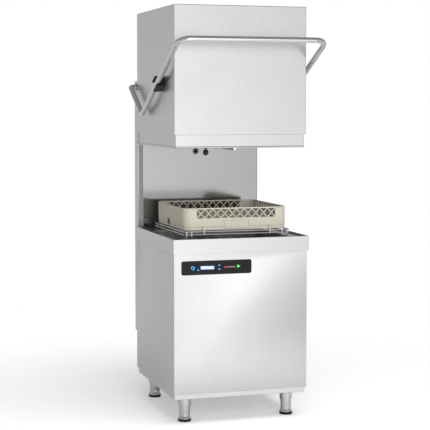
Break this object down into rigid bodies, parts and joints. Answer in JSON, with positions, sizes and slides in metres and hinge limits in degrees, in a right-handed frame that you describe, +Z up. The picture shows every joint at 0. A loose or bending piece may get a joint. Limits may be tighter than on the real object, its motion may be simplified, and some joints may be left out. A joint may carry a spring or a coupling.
{
  "type": "commercial dishwasher",
  "caption": "Hood-type commercial dishwasher with its hood raised, lifting handle, open wash chamber with sliding rack, key panel, and levelling feet.",
  "frame": {"origin": "on the floor, under the centre of the machine's overall box", "axes": "+Z up, -Y towards the user at the front with the key panel, +X to the user's right"},
  "size_m": [0.7128, 0.9455, 1.906],
  "materials": {
    "black_glass": "gloss",
    "black_plastic": "matt",
    "brushed_steel": "satin, brushed one way",
    "circuit_board": "satin",
    "galvanised_steel": "dull zinc",
    "grey_plastic": "satin",
    "hose_rubber": "matt",
    "knob_plastic": "satin",
    "motor_paint": "semi-matt",
    "polished_steel": "polished",
    "rack_plastic": "satin, lightly textured"
  },
  "bodies": {
    "chassis": {"base_tray": "brushed_steel", "leg_sleeve_front_left": "brushed_steel", "leg_sleeve_front_right": "brushed_steel", "leg_sleeve_rear_left": "brushed_steel", "leg_sleeve_rear_right": "brushed_steel", "right_side_panel": "brushed_steel", "left_side_panel": "brushed_steel", "front_panel": "brushed_steel", "rear_panel": "brushed_steel", "wash_tank": "brushed_steel", "tank_strainer": "brushed_steel", "filter_basket": "brushed_steel", "overflow_pipe": "black_plastic", "tank_heater": "brushed_steel", "wash_pump_housing": "grey_plastic", "pump_motor": "motor_paint", "lower_arm_post": "brushed_steel", "riser_duct": "brushed_steel", "suction_hose": "hose_rubber", "retaining_knob": "knob_plastic", "rinse_boiler": "galvanised_steel", "electrical_box": "grey_plastic", "detergent_pump": "grey_plastic", "rinse_aid_pump": "grey_plastic", "inlet_valve": "grey_plastic", "water_inlet": "brushed_steel", "cable_gland": "black_plastic", "drain_outlet": "grey_plastic", "control_glass": "black_glass", "control_board": "circuit_board", "right_column": "brushed_steel", "left_column": "brushed_steel", "column_cover": "brushed_steel", "splash_back": "polished_steel", "handle_bush_right": "brushed_steel", "lift_spring_right": "galvanised_steel", "handle_bush_left": "brushed_steel", "lift_spring_left": "galvanised_steel", "rack_guide": "polished_steel"},
    "hood": {"hood_shell": "brushed_steel", "hood_band": "brushed_steel", "hood_slider_left": "black_plastic", "hood_slider_right": "black_plastic"},
    "handle": {"handle": "polished_steel"},
    "lower_wash_arm": {"lower_wash_arm": "brushed_steel"},
    "lower_rinse_arm": {"lower_rinse_arm": "brushed_steel"},
    "upper_wash_arm": {"upper_wash_arm": "brushed_steel"},
    "upper_rinse_arm": {"upper_rinse_arm": "brushed_steel"},
    "power_key": {"power_key": "black_glass"},
    "up_key": {"up_key": "black_glass"},
    "down_key": {"down_key": "black_glass"},
    "start_key": {"start_key": "black_glass"},
    "foot_front_left": {"foot_front_left": "brushed_steel"},
    "foot_front_right": {"foot_front_right": "brushed_steel"},
    "foot_rear_left": {"foot_rear_left": "brushed_steel"},
    "foot_rear_right": {"foot_rear_right": "brushed_steel"},
    "guide_shoe_left": {"guide_shoe_left": "black_plastic"},
    "guide_shoe_right": {"guide_shoe_right": "black_plastic"},
    "rack": {"rack": "rack_plastic"},
    "pump_impeller": {"pump_impeller": "grey_plastic"}
  },
  "joints": [
    {"name": "hood_lift", "type": "slide", "parent": "chassis", "child": "hood", "axis": [0, 0, 1], "range_m": [-0.41, 0], "deforming": ["lift_spring_left", "lift_spring_right"]},
    {"name": "handle_swing", "type": "hinge", "parent": "chassis", "child": "handle", "pos_m": [0, 0.43875, 1.545], "axis": [1, 0, 0], "range_deg": [0, 45]},
    {"name": "guide_shoe_left_tilt", "type": "hinge", "parent": "hood", "child": "guide_shoe_left", "pos_m": [-0.3235, -0.07525, 1.55121], "axis": [1, 0, 0], "range_deg": [0, 45]},
    {"name": "guide_shoe_right_tilt", "type": "hinge", "parent": "hood", "child": "guide_shoe_right", "pos_m": [0.3235, -0.07525, 1.55121], "axis": [1, 0, 0], "range_deg": [0, 45]},
    {"name": "lower_wash_arm_spin", "type": "hinge", "parent": "chassis", "child": "lower_wash_arm", "pos_m": [0, 0.04375, 0.7815], "axis": [0, 0, 1], "continuous": true},
    {"name": "lower_rinse_arm_spin", "type": "hinge", "parent": "chassis", "child": "lower_rinse_arm", "pos_m": [0, 0.04375, 0.808], "axis": [0, 0, 1], "continuous": true},
    {"name": "upper_wash_arm_spin", "type": "hinge", "parent": "chassis", "child": "upper_wash_arm", "pos_m": [0, 0.04375, 1.2735], "axis": [0, 0, 1], "continuous": true},
    {"name": "upper_rinse_arm_spin", "type": "hinge", "parent": "chassis", "child": "upper_rinse_arm", "pos_m": [0, 0.04375, 1.254], "axis": [0, 0, 1], "continuous": true},
    {"name": "pump_impeller_spin", "type": "hinge", "parent": "chassis", "child": "pump_impeller", "pos_m": [0, 0.04375, 0.33], "axis": [1, 0, 0], "continuous": true},
    {"name": "rack_slide", "type": "slide", "parent": "chassis", "child": "rack", "axis": [1, 0, 0], "range_m": [0, 0.6]},
    {"name": "power_key_press", "type": "slide", "parent": "chassis", "child": "power_key", "axis": [0, 1, 0], "range_m": [0, 0.0008], "stiffness_N_per_m": 1200, "springref_m": -0.001},
    {"name": "up_key_press", "type": "slide", "parent": "chassis", "child": "up_key", "axis": [0, 1, 0], "range_m": [0, 0.0008], "stiffness_N_per_m": 1200, "springref_m": -0.001},
    {"name": "down_key_press", "type": "slide", "parent": "chassis", "child": "down_key", "axis": [0, 1, 0], "range_m": [0, 0.0008], "stiffness_N_per_m": 1200, "springref_m": -0.001},
    {"name": "start_key_press", "type": "slide", "parent": "chassis", "child": "start_key", "axis": [0, 1, 0], "range_m": [0, 0.0008], "stiffness_N_per_m": 1200, "springref_m": -0.001},
    {"name": "foot_front_left_level", "type": "slide", "parent": "chassis", "child": "foot_front_left", "axis": [0, 0, -1], "range_m": [0, 0.03]},
    {"name": "foot_front_right_level", "type": "slide", "parent": "chassis", "child": "foot_front_right", "axis": [0, 0, -1], "range_m": [0, 0.03]},
    {"name": "foot_rear_left_level", "type": "slide", "parent": "chassis", "child": "foot_rear_left", "axis": [0, 0, -1], "range_m": [0, 0.03]},
    {"name": "foot_rear_right_level", "type": "slide", "parent": "chassis", "child": "foot_rear_right", "axis": [0, 0, -1], "range_m": [0, 0.03]}
  ],
  "couplings": [
    {"joint": "handle_swing", "follows": "hood_lift", "rad_per_m": -1.9009},
    {"joint": "guide_shoe_left_tilt", "follows": "hood_lift", "rad_per_m": -1.9009},
    {"joint": "guide_shoe_right_tilt", "follows": "hood_lift", "rad_per_m": -1.9009}
  ]
}
